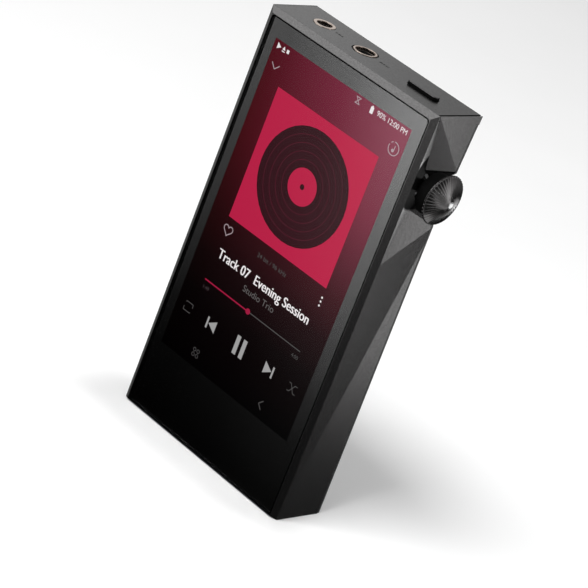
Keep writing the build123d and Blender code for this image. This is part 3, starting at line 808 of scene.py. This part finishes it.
def lettering(name, text, x, z, size, material, width=1.0, bold=0.0):
    """Words in the built-in typeface, turned to plain mesh. Width below 1 narrows the letters;
    bold is how far a second copy lies to the side, in millimetres."""
    curve = bpy.data.curves.new(name, "FONT")
    curve.body = text
    curve.size = size * MM
    curve.align_x = "CENTER"
    curve.align_y = "CENTER"
    curve.fill_mode = "FRONT"
    words = bpy.data.objects.new(name, curve)
    bpy.context.scene.collection.objects.link(words)
    depsgraph = bpy.context.evaluated_depsgraph_get()
    mesh = bpy.data.meshes.new_from_object(words.evaluated_get(depsgraph))
    bpy.data.objects.remove(words)
    place = mm(x + SEEN_SHIFT[0], MARK_Y, z + SEEN_SHIFT[1])
    upright = Matrix.Translation(place) @ Matrix.Rotation(math.pi / 2, 4, "X")
    mesh.transform(upright @ Matrix.Diagonal((width, 1.0, 1.0, 1.0)))
    if bold > 0:
        work = bmesh.new()
        for step in (-0.5, 0.0, 0.5):
            aside = mesh.copy()
            aside.transform(Matrix.Translation(mm(step * bold, step * 0.002, 0.0)))
            work.from_mesh(aside)
            bpy.data.meshes.remove(aside)
        work.to_mesh(mesh)
        work.free()
    mesh.materials.clear()
    mesh.materials.append(material)
    return new_object(name, mesh, "screen")


def plain_light(name, color):
    """One colour of the screen, a touch brighter to the right."""
    dim = tuple(channel * 0.93 for channel in color)
    return lit_picture(name, (1.0, 0.0, 0.0), [(-24, dim), (24, color)])


def make_picture():
    """The dark crimson page behind the marks, lightest at the upper right."""
    backdrop = lit_picture(
        "screen_backdrop",
        (0.0, 0.0, 1.0),
        [
            (19, (0.0008, 0.0008, 0.0009)),
            (36, (0.003, 0.001, 0.0012)),
            (46, (0.012, 0.0018, 0.003)),
            (56, (0.042, 0.004, 0.008)),
            (68, (0.11, 0.012, 0.027)),
            (78, (0.18, 0.022, 0.047)),
            (102, (0.25, 0.048, 0.084)),
        ],
        cross=(1.0, 0.0, 0.0),
        cross_stops=[
            (-23.4, (0.28, 0.0, 0.06)),
            (0.0, (0.65, 0.24, 0.42)),
            (20.0, (1.0, 1.0, 1.0)),
            (23.4, (1.0, 1.0, 1.0)),
        ],
    )
    outline = block(0.0, SCREEN_MIDDLE_Z, SCREEN_WIDTH, SCREEN_HEIGHT)
    flat_piece("screen_picture", [outline], PICTURE_Y, backdrop)


def make_cover_art():
    """A plain record on a plain square, standing in for cover art."""
    middle = (ART_BOTTOM + ART_TOP) / 2
    square = block(0.0, middle, 2 * ART_HALF_WIDTH, ART_TOP - ART_BOTTOM)
    grooves = []
    for radius in (6.5, 8.5, 10.5, 12.5):
        grooves += stroke(arc(0.0, middle, radius, steps=96), 0.16)
    crimson = plain_light("cover_art_crimson", (0.50, 0.012, 0.060))
    black = plain_light("cover_art_black", (0.030, 0.003, 0.007))
    sheen = plain_light("cover_art_sheen", (0.090, 0.008, 0.020))
    layers = (
        ("cover_art_square", [square], crimson),
        ("cover_art_record", [disc(0.0, middle, 14.5)], black),
        ("cover_art_grooves", grooves, sheen),
        ("cover_art_label", [disc(0.0, middle, 4.6)], crimson),
        ("cover_art_hole", [disc(0.0, middle, 0.7)], black),
    )
    for number, (name, shapes, light) in enumerate(layers):
        flat_piece(name, shapes, ART_Y - number * ART_STEP, light)


def heart(x, z, size):
    """A heart's outline about its centre."""
    points = []
    for step in range(40):
        turn = 2 * math.pi * step / 40
        across = 16 * math.sin(turn) ** 3
        height = 13 * math.cos(turn) - 5 * math.cos(2 * turn) - 2 * math.cos(3 * turn) - math.cos(4 * turn)
        points.append((x + across * size / 32, z + (height + 2.5) * size / 32))
    return points


def make_marks():
    """The player page's symbols, lines and words."""
    bright = plain_light("screen_white", (0.86, 0.82, 0.83))
    clear = plain_light("screen_pale", (0.36, 0.355, 0.355))
    dim = plain_light("screen_grey", (0.075, 0.072, 0.072))
    faint = plain_light("screen_faint", (0.055, 0.04, 0.045))
    crimson = plain_light("screen_crimson", (0.36, 0.010, 0.05))

    status = [[(-22.2, 100.0), (-20.9, 100.8), (-22.2, 101.6)]]
    status.append(block(-19.9, 100.2, 1.0, 0.25))
    status.append([(-20.4, 100.6), (-19.4, 100.6), (-19.9, 101.5)])
    status.append(block(-18.5, 100.8, 0.8, 0.9))
    status.append(block(10.7, 100.65, 1.0, 1.6))
    status.append(block(10.7, 101.6, 0.5, 0.3))
    status.extend(disc(17.4, height, 0.27) for height in (52.8, 53.85, 54.9))
    flat_piece("status_marks", status, MARK_Y, bright)

    thin = stroke([(-21.9, 96.6), (-20.6, 95.3), (-19.3, 96.6)], 0.24)
    thin += stroke([(5.2, 101.5), (6.8, 101.5)], 0.22)
    thin += stroke([(5.2, 100.0), (6.8, 100.0)], 0.22)
    thin += stroke([(5.4, 101.4), (6.6, 100.1)], 0.2)
    thin += stroke([(6.6, 101.4), (5.4, 100.1)], 0.2)
    thin += stroke(arc(20.5, 95.9, 1.6, -200, 100, 30), 0.24)
    thin += stroke(arc(20.5, 95.9, 1.6, 115, 140, 3), 0.22)
    thin += stroke([(20.75, 96.7), (20.75, 95.5)], 0.22)
    thin.append(disc(20.4, 95.4, 0.42))
    thin += stroke(heart(-16.2, 54.0, 3.0), 0.24, closed=True)
    flat_piece("thin_marks", thin, MARK_Y, plain_light("screen_soft_white", (0.42, 0.33, 0.36)))

    play_row = 31.1
    controls = [block(-1.15, play_row, 1.25, 5.0), block(1.15, play_row, 1.25, 5.0)]
    controls.append([(-9.0, 29.5), (-9.0, 32.7), (-11.6, play_row)])
    controls.append(block(-12.0, play_row, 0.55, 3.0))
    controls.append([(9.0, 32.7), (9.0, 29.5), (11.6, play_row)])
    controls.append(block(12.0, play_row, 0.55, 3.0))
    flat_piece("play_marks", controls, MARK_Y, clear)

    small = stroke([(-20.3, 32.0), (-20.3, 32.3), (-17.9, 32.3), (-17.9, 31.4)], 0.2)
    small += stroke([(-18.2, 30.2), (-18.2, 29.9), (-20.6, 29.9), (-20.6, 30.8)], 0.2)
    small += stroke([(17.7, 32.1), (18.4, 32.1), (19.8, 30.0), (20.6, 30.0)], 0.2)
    small += stroke([(17.7, 30.0), (18.4, 30.0), (19.8, 32.1), (20.6, 32.1)], 0.2)
    small += stroke([(12.7, 23.6), (11.5, 22.4), (12.7, 21.2)], 0.24)
    for x in (-12.65, -11.35):
        for z in (21.75, 23.05):
            small += stroke(arc(x, z, 0.45, 0, 360, 16), 0.16)
    flat_piece("small_marks", small, MARK_Y, dim)

    progress_row = 40.1
    played = [block(-9.5, progress_row, 15.9, 0.34), disc(-1.6, progress_row, 0.75)]
    flat_piece("progress_rest", [block(8.0, progress_row, 18.6, 0.26)], MARK_Y, dim)
    flat_piece("progress_done", played, MARK_Y - 0.004, crimson)

    lettering("track_name", "Track 07  Evening Session", 0.0, 47.9, 3.55, bright, width=0.88, bold=0.15)
    soft_grey = plain_light("screen_soft_grey", (0.13, 0.12, 0.12))
    lettering("artist_name", "Studio Trio", 0.0, 44.4, 2.4, soft_grey)
    lettering("format_note", "24 bit / 96 kHz", 0.0, 53.8, 1.7, dim)
    lettering("time_played", "1:49", -16.3, 38.2, 1.35, faint)
    lettering("time_total", "4:00", 16.3, 38.2, 1.35, dim)
    lettering("clock", "90% 12:00 PM", 17.45, 100.85, 1.85, bright, width=0.95)


def make_jack_marks():
    """A short row of small printed bars beside each jack."""
    just_above_top = 108.303
    bar_depth = 0.7
    gap = 0.28
    ink = moulded("mark_ink", (0.012, 0.012, 0.012), 0.6)
    points = []
    faces = []
    for x, widths in ((-13.9, (0.5, 0.9, 0.5)), (1.3, (0.9, 0.5, 0.5, 0.3))):
        for width in widths:
            faces.append(tuple(range(len(points), len(points) + 4)))
            for corner_x, corner_y in ((x, 0.0), (x + width, 0.0), (x + width, bar_depth), (x, bar_depth)):
                points.append(mm(corner_x, corner_y, just_above_top))
            x += width + gap
    mesh = bpy.data.meshes.new("jack_marks")
    mesh.from_pydata(points, [], faces)
    mesh.materials.append(ink)
    new_object("jack_marks", mesh, "black_print")


make_picture()
make_cover_art()
make_marks()
make_jack_marks()


# ---------------------------------------------------------------- volume knob

KNOB_Z = 89.0
TEETH = 44
TOOTH_STEPS = (0.0, 0.16, 0.34, 0.54, 0.74, 0.90, 0.97)
STEEP_WALL = 0.90

# Rings of the drum and the rim: the radius, the place along X, and how deep the flutes cut along X
# and inwards. The first DRUM_RINGS of them bound the drum, near-black as painted shade for the knob's shadow.
DRUM_RINGS = 5
DRUM_AND_RIM = (
    (2.4, 28.95, 0.0, 0.0),
    (5.0, 28.95, 0.0, 0.0),
    (5.2, 29.02, 0.0, 0.0),
    (5.3, 29.2, 0.0, 0.0),
    (5.3, 31.7, 0.0, 0.0),
    (5.7, 32.2, 0.0, 0.0),
    (6.26, 32.50, 0.0, 0.0),
    (6.38, 32.64, 0.0, 0.06),
    (6.42, 32.78, 0.0, 0.10),
    (6.38, 32.94, 0.0, 0.10),
    (6.30, 33.04, 0.0, 0.08),
    (6.22, 33.08, 0.02, 0.05),
)
CONE_EDGE = (6.15, 33.12)
CONE_TIP = (0.94, 35.50)
CONE_ROWS = 20
DISC_SEAT = (0.90, 35.30)


def tooth_depth(part):
    """How far below the crest the flute lies at this part of its pitch, from 0 to 1:
    a long slope, then a steep wall."""
    if part < STEEP_WALL:
        return math.sin(part / STEEP_WALL * math.pi / 2) ** 1.4
    return (1.0 - part) / 0.10


def make_knob():
    """The knob's shallow cone with sawtooth flutes that deepen towards the rim, and its drum behind,
    near-black as painted shade.
    """
    profile = list(DRUM_AND_RIM)
    for row in range(CONE_ROWS + 1):
        inwards = row / CONE_ROWS
        radius = CONE_EDGE[0] - (CONE_EDGE[0] - CONE_TIP[0]) * row / CONE_ROWS
        place = CONE_EDGE[1] + (CONE_TIP[1] - CONE_EDGE[1]) * row / CONE_ROWS
        groove = 0.46 * (1.0 - inwards) ** 2.2 + 0.03 * (1.0 - inwards)
        profile.append((radius, place, groove, 0.0))
    profile.append((*DISC_SEAT, 0.0, 0.0))
    work = bmesh.new()
    rings = []
    for radius, x, groove, notch in profile:
        ring = []
        for tooth in range(TEETH):
            for part in TOOTH_STEPS:
                turn = 2 * math.pi * (tooth + part) / TEETH
                depth = tooth_depth(part)
                reach = radius - notch * depth
                point = mm(x - groove * depth, reach * math.cos(turn), KNOB_Z + reach * math.sin(turn))
                ring.append(work.verts.new(point))
        rings.append(ring)
    count = TEETH * len(TOOTH_STEPS)
    for number, (ring, following) in enumerate(zip(rings, rings[1:])):
        for step in range(count):
            after = (step + 1) % count
            face = work.faces.new((ring[step], ring[after], following[after], following[step]))
            face.material_index = 1 if number < DRUM_RINGS else 0
    work.faces.new(list(reversed(rings[0]))).material_index = 1
    work.faces.new(rings[-1])
    bmesh.ops.recalc_face_normals(work, faces=work.faces)
    mesh = bpy.data.meshes.new("volume_knob_finished")
    work.to_mesh(mesh)
    work.free()
    mesh.materials.append(materials["knob_metal"])
    mesh.materials.append(materials["knob_drum"])
    knob = new_object("volume_knob_finished", mesh, "knob_metal", "knob", smooth_angle=28.0)
    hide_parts("volume_knob")
    knob.visible_glossy = False


make_knob()


# ---------------------------------------------------------------- result

bpy.context.scene.view_settings.view_transform = "Standard"
bpy.context.scene.view_settings.look = "None"
